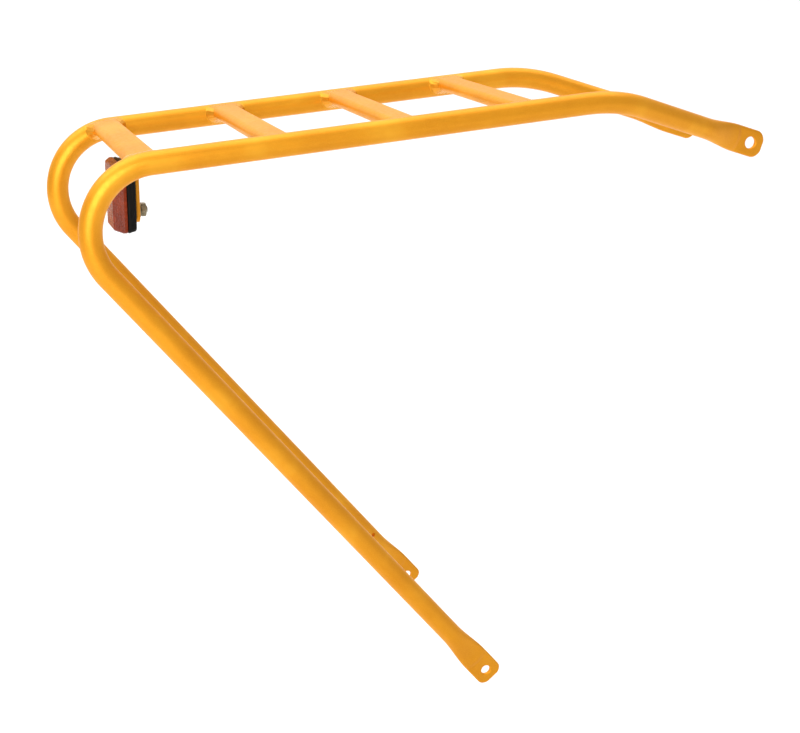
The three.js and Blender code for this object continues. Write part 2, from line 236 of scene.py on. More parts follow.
def rings_to_faces(count, sides, closed_ends=True):
    """Faces of a tube made of rings of points, one ring after another."""
    faces = []
    for i in range(count - 1):
        for k in range(sides):
            n = (k + 1) % sides
            here = i * sides
            after = here + sides
            faces.append((here + k, here + n, after + n, after + k))
    if closed_ends:
        faces.append(tuple(range(sides - 1, -1, -1)))
        faces.append(tuple((count - 1) * sides + k for k in range(sides)))
    return faces


# ---- materials ------------------------------------------------------------------------

class Nodes:
    """Short names for building a material's nodes."""

    def __init__(self, name):
        self.material = bpy.data.materials.new(name)
        self.material.use_nodes = True
        self.tree = self.material.node_tree
        self.shader = self.tree.nodes["Principled BSDF"]
        self.place = self.add("ShaderNodeTexCoord").outputs["Object"]

    def add(self, kind, **values):
        node = self.tree.nodes.new(kind)
        for key, value in values.items():
            setattr(node, key, value)
        return node

    def link(self, source, target):
        self.tree.links.new(source, target)

    def noise(self, scale, detail=2.0, roughness=0.5, stretch=None):
        """Soft noise. scale is in features per metre, roughly."""
        node = self.add("ShaderNodeTexNoise")
        node.inputs["Scale"].default_value = scale
        node.inputs["Detail"].default_value = detail
        node.inputs["Roughness"].default_value = roughness
        source = self.place
        if stretch:
            scaled = self.add("ShaderNodeMapping")
            scaled.inputs["Scale"].default_value = stretch
            self.link(self.place, scaled.inputs["Vector"])
            source = scaled.outputs["Vector"]
        self.link(source, node.inputs["Vector"])
        return node.outputs["Fac"]

    def cells(self, scale, output="Distance"):
        """Small cells, each with its own distance or colour."""
        node = self.add("ShaderNodeTexVoronoi", feature="F1")
        node.inputs["Scale"].default_value = scale
        self.link(self.place, node.inputs["Vector"])
        return node.outputs[output]

    def ramp(self, source, stops):
        """Colours from (place, colour) stops."""
        node = self.add("ShaderNodeValToRGB")
        ramp = node.color_ramp
        while len(ramp.elements) < len(stops):
            ramp.elements.new(0.5)
        for element, (at, colour) in zip(ramp.elements, stops):
            element.position = at
            element.color = (*colour, 1)
        self.link(source, node.inputs["Fac"])
        return node.outputs["Color"]

    def grey(self, source, low, high, start=0.3, end=0.7):
        """A value from low to high as the source goes from start to end."""
        node = self.add("ShaderNodeMapRange")
        node.inputs["From Min"].default_value = start
        node.inputs["From Max"].default_value = end
        node.inputs["To Min"].default_value = low
        node.inputs["To Max"].default_value = high
        self.link(source, node.inputs["Value"])
        return node.outputs["Result"]

    def mix(self, factor, first, second):
        """Mixes a linked colour with a fixed one."""
        first_colour, second_colour, result = 6, 7, 2
        node = self.add("ShaderNodeMix", data_type="RGBA")
        self.link(factor, node.inputs["Factor"])
        self.link(first, node.inputs[first_colour])
        node.inputs[second_colour].default_value = (*second, 1)
        return node.outputs[result]

    def bump(self, heights):
        """Stacks (height output, strength, distance in millimetres) bumps into the shader."""
        last = None
        for height, strength, distance in heights:
            node = self.add("ShaderNodeBump")
            node.inputs["Strength"].default_value = strength
            node.inputs["Distance"].default_value = distance * MM
            self.link(height, node.inputs["Height"])
            if last is not None:
                self.link(last, node.inputs["Normal"])
            last = node.outputs["Normal"]
        self.link(last, self.shader.inputs["Normal"])

    def set(self, **values):
        """Sets constants on the shader's own sockets; an underscore stands for a space."""
        for key, value in values.items():
            self.shader.inputs[key.replace("_", " ")].default_value = value


def paint_material(name, deep, body, bright, roughness):
    """Golden-orange metallic powder paint under a clear coat, with fine flake and orange peel."""
    n = Nodes(name)
    drift = n.noise(28, detail=3.0, roughness=0.55)
    flake = n.cells(5200, output="Color")
    sparkle = n.add("ShaderNodeSeparateColor")
    n.link(flake, sparkle.inputs["Color"])
    base = n.ramp(drift, [(0.32, deep), (0.55, body), (0.8, bright)])
    glint = n.grey(sparkle.outputs["Red"], 0.0, 0.5, start=0.55, end=1.0)
    n.link(n.mix(glint, base, bright), n.shader.inputs["Base Color"])
    gloss = n.grey(n.noise(420), roughness - 0.05, roughness + 0.07)
    n.link(gloss, n.shader.inputs["Roughness"])
    n.set(Metallic=0.55, Coat_Weight=0.12, Coat_Roughness=0.22, IOR=1.45,
          Specular_IOR_Level=0.35, Specular_Tint=(1.0, 0.84, 0.52, 1))
    orange_peel = n.noise(330, detail=3.0)
    flake_grain = n.noise(2600, detail=1.0)
    n.bump([(orange_peel, 0.10, 0.12), (flake_grain, 0.05, 0.03)])
    return n.material


def plastic_material():
    """Black moulded housing plastic with a fine eroded grain and rubbed patches."""
    n = Nodes("black_moulded_plastic")
    wear = n.noise(60, detail=4.0, roughness=0.6)
    n.link(n.ramp(wear, [(0.35, (0.003, 0.003, 0.002)), (0.75, (0.009, 0.007, 0.006))]),
           n.shader.inputs["Base Color"])
    n.link(n.grey(wear, 0.42, 0.6), n.shader.inputs["Roughness"])
    n.set(IOR=1.45, Specular_IOR_Level=0.16)
    n.bump([(n.noise(2400, roughness=0.6), 0.25, 0.05)])
    return n.material


def lens_material():
    """Red reflector plastic: a glossy skin over prism cells that catch the light unevenly."""
    n = Nodes("red_reflector_plastic")
    prisms_per_metre = 480
    cell = n.cells(prisms_per_metre, output="Color")
    split = n.add("ShaderNodeSeparateColor")
    n.link(cell, split.inputs["Color"])
    base = n.ramp(n.noise(38), [(0.3, (0.15, 0.018, 0.004)), (0.7, (0.26, 0.036, 0.008))])
    # painted highlight: a share of the prism cells is mixed towards a brighter lit red, as if those
    # cells caught the light
    glint = n.grey(split.outputs["Green"], 0.0, 0.35, start=0.35, end=1.0)
    n.link(n.mix(glint, base, (0.42, 0.065, 0.022)), n.shader.inputs["Base Color"])
    n.link(n.grey(n.noise(700), 0.22, 0.34), n.shader.inputs["Roughness"])
    n.set(IOR=1.45, Specular_IOR_Level=0.16, Coat_Weight=0.03, Coat_Roughness=0.1)
    n.bump([(n.cells(prisms_per_metre), 0.35, 0.15)])
    return n.material


def zinc_material(name, dull, clean):
    """Yellowish zinc plating with fine turning lines and dull handling marks."""
    n = Nodes(name)
    bloom = n.noise(240, detail=4.0, roughness=0.6)
    n.link(n.ramp(bloom, [(0.3, dull), (0.7, clean)]), n.shader.inputs["Base Color"])
    n.link(n.grey(n.noise(900, detail=3.0), 0.24, 0.46), n.shader.inputs["Roughness"])
    n.set(Metallic=0.95)
    turning_lines = n.noise(1500, stretch=(6.0, 1.0, 1.0))
    n.bump([(turning_lines, 0.15, 0.04)])
    return n.material


def floor_material():
    """Matt pale board, with a wide soft pool of painted shade that greys it under and in front of
    the object.
    """
    n = Nodes("pale_floor")
    away = n.add("ShaderNodeVectorMath", operation="DISTANCE")
    away.inputs[1].default_value = (0.0, SHADE_POOL_CENTRE_Y, CAD_LOW.z - FLOOR_DROP)
    n.link(n.place, away.inputs[0])
    cloud = n.noise(3, detail=3.0)
    pale = n.ramp(cloud, [(0.3, (0.94, 0.94, 0.94)), (0.7, (0.97, 0.97, 0.97))])
    # painted shade: the board is mixed towards grey near the pool's centre, a shadow painted under
    # and in front of the object that also dims the light it bounces up onto the undersides
    painted_shade = n.grey(away.outputs["Value"], 1.0, 0.0, start=SHADE_POOL_INNER, end=SHADE_POOL_OUTER)
    n.link(n.mix(painted_shade, pale, (0.44, 0.43, 0.42)), n.shader.inputs["Base Color"])
    n.link(n.grey(n.noise(30), 0.75, 0.85), n.shader.inputs["Roughness"])
    n.set(Specular_IOR_Level=0.2)
    return n.material


PAINT = paint_material("orange_metallic_paint", deep=(0.76, 0.285, 0.010),
                       body=(0.82, 0.325, 0.013), bright=(0.93, 0.43, 0.028), roughness=0.42)
WELD_PAINT = paint_material("orange_paint_on_weld", deep=(0.70, 0.245, 0.008),
                            body=(0.80, 0.315, 0.012), bright=(0.95, 0.52, 0.06), roughness=0.20)
PLASTIC = plastic_material()
LENS = lens_material()
ZINC = zinc_material("yellow_zinc_plating", dull=(0.22, 0.19, 0.12), clean=(0.46, 0.40, 0.27))
DARK_ZINC = zinc_material("zinc_stud_thread", dull=(0.14, 0.12, 0.09), clean=(0.34, 0.31, 0.23))


# ---- the rail's path and sections ------------------------------------------------------

BEND_STEP = math.radians(2.2)
TUBE_SIDES = 56


class End:
    """One pressed end of a rail: its eye and the slope of its middle plane past the crease."""

    def __init__(self, eye, corner, radius, tip, rounding):
        self.eye = Vector(eye)
        self.radius = radius
        self.tip = tip
        self.rounding = rounding
        along = Vector(corner) - self.eye
        along.y = 0
        reach = along.length
        self.along = along.normalized()
        self.across = Vector((-self.along.z, 0, self.along.x))
        self.slope = (corner[1] - eye[1]) / (reach - CREASE_FROM_EYE)

    def rise(self, distance):
        """Sideways offset at a distance from the eye, with the crease rounded over."""
        past = distance - CREASE_FROM_EYE
        return self.slope * (past + math.hypot(past, CREASE_ROUNDING)) / 2

    def at(self, distance):
        """The middle of the section at a distance from the eye."""
        point = self.eye + self.along * distance
        point.y = self.eye.y + self.rise(distance)
        return point


def rail_ends(side):
    """The two corners of a rail's path and its two ends. side is -1 on the right, 1 on the left."""
    rear = (REAR_CORNER_X, side * DECK_HALF, DECK_HEIGHT)
    front = (FRONT_CORNER_X, side * DECK_HALF, DECK_HEIGHT)
    lower = End((0, side * LOWER_HALF, 0), rear,
                LOWER_EYE_RADIUS, LOWER_TIP, LOWER_ROUNDING)
    upper = End((FRONT_EYE_X, side * FRONT_HALF, FRONT_EYE_HEIGHT), front,
                FRONT_EYE_RADIUS, FRONT_TIP, FRONT_ROUNDING)
    return Vector(rear), Vector(front), lower, upper


def bend_points(before, corner, after, radius):
    """Points and directions round one bend."""
    inward = (corner - before).normalized()
    outward = (after - corner).normalized()
    turn = inward.angle(outward)
    side = (outward - inward * math.cos(turn)).normalized()
    start = corner - inward * radius * math.tan(turn / 2)
    steps = max(2, round(turn / BEND_STEP))
    found = []
    for k in range(steps + 1):
        angle = turn * k / steps
        forward = radius * math.sin(angle)
        sideways = radius * (1 - math.cos(angle))
        direction = inward * math.cos(angle) + side * math.sin(angle)
        found.append((start + inward * forward + side * sideways, direction))
    return found


def end_stations(end):
    """Distances from the eye at which a pressed end has a section, from the flare to the tip."""
    coarse, fine = 1.5, 0.4
    tip_length, tip_steps = 4.5, 8
    flare = [FLARE_FROM_EYE - coarse * i for i in range(23)]
    crease = [CREASE_FROM_EYE + 5.5 - fine * i for i in range(20)]
    tab = [CREASE_FROM_EYE - 3.2 - coarse * i for i in range(10)]
    distances = [s for s in flare + crease + tab if s > tip_length - end.tip]
    for i in range(tip_steps + 1):
        share = 1 - math.sin(math.pi / 2 * i / tip_steps)
        distances.append(tip_length * share - end.tip)
    return distances


def tip_half_width(end, distance):
    """Half the tab's width near its tip, where the plan's corners are rounded."""
    from_tip = max(0.0, distance + end.tip)
    if from_tip >= end.rounding:
        return TAB_WIDTH / 2
    lean = 1 - (1 - from_tip / end.rounding) ** 2
    return TAB_WIDTH / 2 - end.rounding * (1 - math.sqrt(lean))


def pressed_ring(end, distance):
    """The section of a pressed end. It is a round tube at the flare and a plate past the crease.

    The tube keeps some belly right up to the crease, which bows towards the eye, and drops from
    there to the plate over a short step.
    """
    flat_from_eye = CREASE_FROM_EYE + 1.5
    edge_squareness = 1.9
    share = smoothstep((FLARE_START - distance) / (FLARE_START - flat_from_eye))
    half_width = TUBE_RADIUS + (TAB_WIDTH / 2 - TUBE_RADIUS) * share
    if distance < 0:
        half_width = min(half_width, tip_half_width(end, distance))
    middle = end.at(distance)
    ring = []
    for k in range(TUBE_SIDES):
        angle = 2 * math.pi * k / TUBE_SIDES
        around, out = math.sin(angle), math.cos(angle)
        crease = CREASE_FROM_EYE - CREASE_SHIFT + CREASE_BOW * around * around
        step = smoothstep((crease + STEP_LENGTH / 2 - distance) / STEP_LENGTH)
        flat = share * (1 - BELLY + BELLY * step)
        plate = max(-1.0, min(1.0, edge_squareness * out)) * TAB_THICKNESS / 2
        offset = TUBE_RADIUS * out * (1 - flat) + plate * flat
        point = middle + end.across * half_width * around
        point.y += offset
        ring.append(point)
    return ring


def round_ring(point, direction):
    """The tube's round section square to its path."""
    sideways = Vector((0, 1, 0))
    sideways = (sideways - direction * sideways.dot(direction)).normalized()
    other = direction.cross(sideways)
    ring = []
    for k in range(TUBE_SIDES):
        angle = 2 * math.pi * k / TUBE_SIDES
        out = sideways * math.cos(angle) + other * math.sin(angle)
        ring.append(point + out * TUBE_RADIUS)
    return ring


def aligned(rings):
    """Turns each ring's numbering so that it follows the one before with no twist."""
    made = [rings[0]]
    for ring in rings[1:]:
        last = made[-1]
        choices = []
        for order in (ring, ring[::-1]):
            for shift in range(TUBE_SIDES):
                error = sum((order[(k + shift) % TUBE_SIDES] - last[k]).length
                            for k in range(0, TUBE_SIDES, 7))
                choices.append((error, shift, order))
        _, shift, order = min(choices, key=lambda choice: choice[0])
        made.append([order[(k + shift) % TUBE_SIDES] for k in range(TUBE_SIDES)])
    return made


def drill(name, profile, centre, direction, sides):
    """A turned solid that cuts a hole, from (distance along, radius) pairs on its axis."""
    direction = direction.normalized()
    side = direction.orthogonal().normalized()
    other = direction.cross(side)
    points = []
    for along, radius in profile:
        for k in range(sides):
            angle = 2 * math.pi * k / sides
            out = side * math.cos(angle) + other * math.sin(angle)
            points.append(centre + direction * along + out * radius)
    return plain_object(name, points, rings_to_faces(len(profile), sides))


def plain_drill(name, radius, length, centre, direction):
    """A drill of one radius."""
    profile = [(-length / 2, radius), (length / 2, radius)]
    return drill(name, profile, centre, direction, sides=48)


def countersunk_drill(name, radius, centre, direction, thickness):
    """A drill that also breaks a plate's two edges, so paint rolls over them."""
    half = thickness / 2
    lip = radius + 0.45
    run_out = 6
    one_end = [(half - 0.5, radius), (half - 0.18, radius + 0.13), (half, lip),
               (half + run_out, lip)]
    profile = [(-along, r) for along, r in reversed(one_end)] + one_end
    return drill(name, profile, centre, direction, sides=56)


def make_rail(side_name, side):
    """One rail: a single bent tube with a pressed eye at each end."""
    node = f"{side_name}_rail"
    rear, front, lower, upper = rail_ends(side)
    rings = [pressed_ring(lower, d) for d in reversed(end_stations(lower))]
    start = lower.at(FLARE_FROM_EYE)
    finish = upper.at(FLARE_FROM_EYE)
    path = bend_points(start, rear, front, HAIRPIN_RADIUS)
    path += bend_points(rear, front, finish, FRONT_BEND_RADIUS)
    rings += [round_ring(point, direction) for point, direction in path]
    rings += [pressed_ring(upper, d) for d in end_stations(upper)]
    points = [point for ring in aligned(rings) for point in ring]
    made = plain_object(f"{node}_looks", points, rings_to_faces(len(rings), TUBE_SIDES))
    across = Vector((0, 1, 0))
    for end in (lower, upper):
        subtract(made, countersunk_drill("eye_drill", end.radius, end.eye, across,
                                         TAB_THICKNESS))
    vent_depth = 5.0
    tube = (lower.at(2 * FLARE_FROM_EYE) - lower.at(FLARE_FROM_EYE)).normalized()
    inward = Vector((0, -side, 0))
    inward = (inward - tube * inward.dot(tube)).normalized()
    forward = tube.cross(inward).normalized()
    if forward.x < 0:
        forward.negate()
    direction = inward * math.cos(VENT_TURN) + forward * math.sin(VENT_TURN)
    centre = lower.at(VENT_FROM_EYE) + direction * TUBE_RADIUS
    subtract(made, plain_drill("vent_drill", VENT_RADIUS, vent_depth, centre, direction))
    finish_piece(made, node, PAINT, "rack", 40)


# ---- crossbars and weld beads ----------------------------------------------------------

BAR_SIDES = 72

# the highest a bead's foot may stand over the middle of the rail's tube
CREST_LIMIT = 6.62

# how far the hairpin turns, and where it begins behind the straight deck
HAIRPIN_TURN = math.pi - math.atan2(DECK_HEIGHT, -REAR_CORNER_X)
HAIRPIN_START_X = REAR_CORNER_X + HAIRPIN_RADIUS * math.tan(HAIRPIN_TURN / 2)


def bar_place(index):
    """Where a bar stands. One that falls on the hairpin leans and drops with it."""
    x = FIRST_BAR_X + BAR_PITCH * index
    tilt = math.asin(max(0.0, HAIRPIN_START_X - x) / HAIRPIN_RADIUS)
    drop = HAIRPIN_RADIUS * (1 - math.cos(tilt))
    return Matrix.Translation((x, 0, BAR_HEIGHT - drop)) @ Matrix.Rotation(-tilt, 4, "Y")


def oval_point(turn, grow=0.0):
    """A point on the bar's flat oval. turn runs from 0 to 1 round it, from the top middle."""
    radius = BAR_THICKNESS / 2 + grow
    reach = (BAR_WIDTH - BAR_THICKNESS) / 2
    arc = math.pi * radius
    total = 2 * arc + 4 * reach
    s = (turn % 1.0) * total
    if s < reach:
        return Vector((s, 0, radius))
    s -= reach
    if s < arc:
        angle = s / radius
        return Vector((reach + radius * math.sin(angle), 0, radius * math.cos(angle)))
    s -= arc
    if s < 2 * reach:
        return Vector((reach - s, 0, -radius))
    s -= 2 * reach
    if s < arc:
        angle = s / radius
        return Vector((-reach - radius * math.sin(angle), 0, -radius * math.cos(angle)))
    s -= arc
    return Vector((-reach + s, 0, radius))


def height_over_rail(x, z):
    """How far a point stands above the middle of the rail's tube, seen from the side."""
    if x >= HAIRPIN_START_X:
        return z - DECK_HEIGHT
    from_axis = math.hypot(x - HAIRPIN_START_X, z - DECK_HEIGHT + HAIRPIN_RADIUS)
    return from_axis - HAIRPIN_RADIUS


def tube_reach(x, z, grow):
    """How far from the rack's middle plane a bar's skin meets the rail's round skin."""
    radius = TUBE_RADIUS + grow
    height = height_over_rail(x, z)
    inside = radius * radius - height * height
    return DECK_HALF - math.sqrt(max(0.0, inside))


def make_bar(index):
    """One flat oval bar whose ends follow the rails' round skin."""
    place = bar_place(index)
    outline = [place @ oval_point(k / BAR_SIDES) for k in range(BAR_SIDES)]
    rows = [-1.0, -0.97, -0.9, -0.6, -0.3, 0.0, 0.3, 0.6, 0.9, 0.97, 1.0]
    points = []
    for row in rows:
        for p in outline:
            reach = tube_reach(p.x, p.z, GAP)
            points.append(Vector((p.x, row * reach, p.z)))
    faces = rings_to_faces(len(rows), BAR_SIDES)
    piece(f"crossbar_{index + 1}", points, faces, PAINT, "rack", 40)


def make_bead(index, side_name, side):
    """A rippled fillet that follows the seam between a bar and the rail's skin.

    It is wide under the bar and at its edges, and dressed nearly flush on top. Each section runs
    from its foot on the rail to its toe on the bar, and closes through the inside of the bar.
    """
    place = bar_place(index)
    rail_leg, bar_leg = 4.3, 6.6
    ripples = 24
    fullness = 0.85
    clearance = 0.05
    sides = 144
    across = 10
    section = []
    for k in range(sides):
        turn = k / sides
        on_bar = place @ oval_point(turn)
        beyond = place @ oval_point(turn, 1.0)
        normal = (beyond - on_bar).normalized()
        top = smoothstep((normal.z - 0.25) / 0.6)
        ripple = 0.5 + 0.5 * math.cos(2 * math.pi * turn * ripples + 1.7 * index)
        wander = 0.5 * math.sin(2 * math.pi * (3 * turn + 0.31 * index))
        wander += 0.35 * math.sin(2 * math.pi * (7 * turn + 0.17 * index + 0.2 * side))
        leg = rail_leg * (1 - 0.93 * top) * (1 + 0.05 * wander)
        reach = bar_leg * (1 - 0.72 * top) * (1 + 0.06 * wander + 0.04 * ripple)
        foot = on_bar + normal * leg
        foot.z -= max(0.0, height_over_rail(foot.x, foot.z) - CREST_LIMIT)
        rail_y = tube_reach(foot.x, foot.z, clearance)
        seam_y = tube_reach(on_bar.x, on_bar.z, clearance)
        swell_limit = 0.62 * (1 - 0.9 * top)
        row = []
        for j in range(across + 1):
            t = j / across
            arc = t * math.pi / 2
            out = (1 - math.sin(arc)) ** fullness
            y = rail_y + (seam_y - reach - rail_y) * (1 - math.cos(arc)) ** fullness
            belly = math.sin(math.pi * t)
            swell = swell_limit * belly * (1 + 0.3 * (ripple - 0.5))
            p = on_bar + (foot - on_bar) * out + normal * (swell + 0.04 * belly)
            row.append(Vector((p.x, side * (y - 0.5 * swell), p.z)))
        hidden = on_bar - normal * 0.6
        row.append(Vector((hidden.x, side * (seam_y - reach + 0.8), hidden.z)))
        row.append(Vector((hidden.x, side * (seam_y + 0.4), hidden.z)))
        section.append(row)
    points = [p for row in section for p in row]
    faces = loop_faces(sides, len(section[0]))
    node = f"crossbar_{index + 1}_weld_{side_name}"
    piece(node, points, faces, WELD_PAINT, "rack", 60)


# ---- bracket and reflector -------------------------------------------------------------

# the reflector's own frame, with +X along the stud to the nut, placed in the rack's frame
TO_RACK = Matrix.Translation(STUD_POINT) @ Matrix.Rotation(BRACKET_TILT, 4, "Y")
STUD_DIRECTION = TO_RACK.to_3x3() @ Vector((1, 0, 0))


def rounded_outline(width, low, high, corner):
    """A rectangle's outline with rounded corners, as (across, up) pairs."""
    steps = 10
    half = width / 2
    centres = [(half - corner, high - corner, 0), (-half + corner, high - corner, 1),
               (-half + corner, low + corner, 2), (half - corner, low + corner, 3)]
    points = []
    for y, z, quarter in centres:
        for k in range(steps + 1):
            angle = math.pi / 2 * (quarter + k / steps)
            points.append((y + corner * math.cos(angle), z + corner * math.sin(angle)))
    return points


def block(name, outline, levels):
    """A solid from one outline at several X levels, each with an inset, ends closed."""
    middle_y = sum(y for y, _ in outline) / len(outline)
    middle_z = sum(z for _, z in outline) / len(outline)
    width = max(abs(y - middle_y) for y, _ in outline)
    height = max(abs(z - middle_z) for _, z in outline)
    points = []
    for x, inset in levels:
        for y, z in outline:
            inset_y = middle_y + (y - middle_y) * (1 - inset / width)
            inset_z = middle_z + (z - middle_z) * (1 - inset / height)
            points.append(TO_RACK @ Vector((x, inset_y, inset_z)))
    return plain_object(name, points, rings_to_faces(len(levels), len(outline)))


def edge_levels(low, high):
    """X levels with insets that round both edges of a plate."""
    radius, steps = 0.5, 4
    rise = []
    for k in range(steps + 1):
        angle = math.pi / 2 * k / steps
        rise.append((radius * (1 - math.cos(angle)), radius * (1 - math.sin(angle))))
    first = [(low + x, inset) for x, inset in rise]
    last = [(high - x, inset) for x, inset in reversed(rise)]
    return first + last


def make_bracket():
    """The strip that hangs from the first bar, cut to the bar's underside."""
    spare = 3
    top = (BAR_HEIGHT - STUD_POINT[2]) / math.cos(BRACKET_TILT) - BAR_THICKNESS / 2 - GAP
    outline = rounded_outline(BRACKET_WIDTH, -BRACKET_BELOW_STUD, top + spare, BRACKET_CORNER)
    made = block("reflector_bracket_looks", outline, edge_levels(-BRACKET_THICKNESS, 0))
    centre = TO_RACK @ Vector((-BRACKET_THICKNESS / 2, 0, 0))
    subtract(made, countersunk_drill("bracket_drill", STUD_RADIUS + STUD_CLEARANCE, centre,
                                     STUD_DIRECTION, BRACKET_THICKNESS))
    place = bar_place(0)
    points = []
    for y in (-BRACKET_WIDTH, BRACKET_WIDTH):
        for k in range(BAR_SIDES):
            p = place @ oval_point(k / BAR_SIDES, GAP)
            points.append(Vector((p.x, y, p.z)))
    subtract(made, plain_object("bar_cut", points, rings_to_faces(2, BAR_SIDES)))
    finish_piece(made, "reflector_bracket", PAINT, "rack", 40)


def make_bracket_bead():
    """The fillet round the top of the bracket, against the underside of the bar.

    Each section runs down from the bar to the bracket's face, and closes inside the bracket.
    """
    half_x = BRACKET_THICKNESS / 2
    half_y = BRACKET_WIDTH / 2 - 0.5
    sides = 120
    across = 8
    place = bar_place(0)
    bar_run = place.to_3x3() @ Vector((1, 0, 0))
    slope = bar_run.z / bar_run.x
    under = place @ Vector((0, 0, -BAR_THICKNESS / 2 - 0.05))
    section = []
    for k in range(sides):
        angle = 2 * math.pi * k / sides
        c, s = math.cos(angle), math.sin(angle)
        x = -BRACKET_THICKNESS / 2 + half_x * max(-1, min(1, 1.6 * c))
        y = half_y * max(-1.0, min(1.0, 1.15 * s))
        out = Vector((c if abs(c) > 0.1 else 0.0, 0.5 * s, 0)).normalized()
        wander = math.sin(4 * angle) * 0.5 + math.sin(9 * angle + 1) * 0.3
        leg = 2.0 * (1 + 0.08 * wander)
        drop = 2.6 * (1 + 0.1 * wander)
        row = []
        for j in range(across + 1):
            arc = math.pi / 2 * j / across
            grow = leg * (1 - math.sin(arc)) + 0.02
            down = drop * (1 - math.cos(arc))
            foot = TO_RACK @ Vector((x + out.x * grow, y + out.y * grow, 0))
            height = under.z + (foot.x - under.x) * slope
            row.append(Vector((foot.x, foot.y, height - down)))
        inner = TO_RACK @ Vector((x - 0.3 * out.x, y - 0.3 * out.y, 0))
        height = under.z + (inner.x - under.x) * slope
        row.append(Vector((inner.x, inner.y, height - drop + 0.6)))
        row.append(Vector((inner.x, inner.y, height)))
        section.append(row)
    points = [p for row in section for p in row]
    faces = loop_faces(sides, len(section[0]))
    piece("reflector_bracket_weld", points, faces, WELD_PAINT, "rack", 60)


def turned_points(profile, sides):
    """Points turned on the stud's axis from (x, radius) pairs; a radius may follow the turn."""
    points = []
    for x, radius in profile:
        for k in range(sides):
            turn = 2 * math.pi * k / sides
            r = radius(turn) if callable(radius) else radius
            points.append(TO_RACK @ Vector((x, r * math.cos(turn), r * math.sin(turn))))
    return points


def make_housing():
    """The moulded back: a plate with a shadow groove round its side, and a boss for the stud."""
    outline = rounded_outline(REFLECTOR_WIDTH, REFLECTOR_LOW, REFLECTOR_HIGH, REFLECTOR_CORNER)
    levels = [(HOUSING_BACK, 0.5), (HOUSING_BACK + 0.15, 0.15), (HOUSING_BACK + 0.5, 0.0),
              (HOUSING_BACK + 1.7, 0.0), (HOUSING_BACK + 1.9, 0.3), (HOUSING_BACK + 2.2, 0.35),
              (HOUSING_BACK + 2.4, 0.35), (HOUSING_FRONT - 0.9, 0.7), (HOUSING_FRONT - 0.4, 0.9),
              (HOUSING_FRONT - 0.1, 1.2), (HOUSING_FRONT, 1.7)]
    made = block("reflector_housing_looks", outline, levels)
    boss_sides = 64
    foot_radius = BOSS_RADIUS + 0.9
    profile = [(HOUSING_FRONT - 1, foot_radius), (HOUSING_FRONT + 0.05, foot_radius),
               (HOUSING_FRONT + 0.3, BOSS_RADIUS + 0.35), (HOUSING_FRONT + 0.8, BOSS_RADIUS),
               (BOSS_FRONT - 0.4, BOSS_RADIUS - 0.1), (BOSS_FRONT - 0.1, BOSS_RADIUS - 0.3),
               (BOSS_FRONT, BOSS_RADIUS - 0.6)]
    boss = plain_object("boss", turned_points(profile, boss_sides),
                        rings_to_faces(len(profile), boss_sides))
    change_solid(made, boss, "UNION")
    hole_middle, hole_length = BOSS_FRONT - 3, 6.6
    centre = TO_RACK @ Vector((hole_middle, 0, 0))
    subtract(made, plain_drill("stud_drill", STUD_RADIUS + STUD_CLEARANCE, hole_length,
                               centre, STUD_DIRECTION))
    finish_piece(made, "reflector_housing", PLASTIC, "reflector", 40)


def lens_depth(y):
    """Where the lens's skin is along the stud: a flat centre with sides that slope away."""
    half = REFLECTOR_WIDTH / 2
    flat = LENS_CENTRE_WIDTH / 2
    share = (half - abs(y)) / (half - flat)
    return LENS_EDGE + (LENS_FACE - LENS_EDGE) * min(1.0, max(0.0, share))


def make_lens():
    """The lens as a fine grid over its rounded outline, with a rim and rows of prism cells."""
    corner = REFLECTOR_CORNER
    half = REFLECTOR_WIDTH / 2
    middle = REFLECTOR_ABOVE_STUD
    half_high = REFLECTOR_HEIGHT / 2
    columns, rows = 150, 120
    smooth_rim, cell, cell_relief = 1.5, 2.6, 0.12
    edge_width, edge_drop, lowest = 0.8, 0.5, LENS_EDGE + 0.4

    def to_outline(y, z):
        """Pulls a point of the square grid that is past a rounded corner back onto it."""
        straight_y = half - corner
        straight_z = half_high - corner
        if abs(y) <= straight_y or abs(z) <= straight_z:
            return y, z
        u = (abs(y) - straight_y) / corner
        v = (abs(z) - straight_z) / corner
        scale = max(u, v) / math.hypot(u, v)
        return (math.copysign(straight_y + corner * u * scale, y),
                math.copysign(straight_z + corner * v * scale, z))

    def relief(y, z, from_edge):
        """Small square prism cells inside the rim, a smooth band at the rim."""
        fade = smoothstep((from_edge - smooth_rim) / 0.6)
        seam = smoothstep((abs(abs(y) - LENS_CENTRE_WIDTH / 2) - 0.45) / 0.4)
        a = abs((y / cell) % 1.0 - 0.5) * 2
        b = abs((z / cell) % 1.0 - 0.5) * 2
        return cell_relief * fade * seam * max(a, b)

    points = []
    for i in range(columns + 1):
        for j in range(rows + 1):
            y, z = to_outline((2 * i / columns - 1) * half, (2 * j / rows - 1) * half_high)
            from_edge = min(half - abs(y), half_high - abs(z))
            rounding = edge_drop * (1 - smoothstep(from_edge / edge_width))
            depth = lens_depth(y) + rounding + relief(y, z, from_edge)
            points.append(TO_RACK @ Vector((min(depth, lowest), y, middle + z)))
    stride = rows + 1
    faces = []
    for i in range(columns):
        for j in range(rows):
            a = i * stride + j
            faces.append((a, a + 1, a + stride + 1, a + stride))
    border = [i * stride for i in range(columns + 1)]
    border += [columns * stride + j for j in range(1, rows + 1)]
    border += [i * stride + rows for i in range(columns - 1, -1, -1)]
    border += list(range(rows - 1, 0, -1))
    back_edge = 0.3
    for level, inset in ((LENS_FRONT - back_edge, 0.0), (LENS_FRONT, back_edge)):
        first = len(points)
        shrink = 1 - inset / half
        for index in border:
            p = TO_RACK.inverted() @ points[index]
            high = middle + (p.z - middle) * shrink
            points.append(TO_RACK @ Vector((level, p.y * shrink, high)))
        ring = list(range(first, len(points)))
        for k in range(len(border)):
            n = (k + 1) % len(border)
            faces.append((border[k], border[n], ring[n], ring[k]))
        border = ring
    faces.append(tuple(border))
    piece("reflector_lens", points, faces, LENS, "reflector", 25)


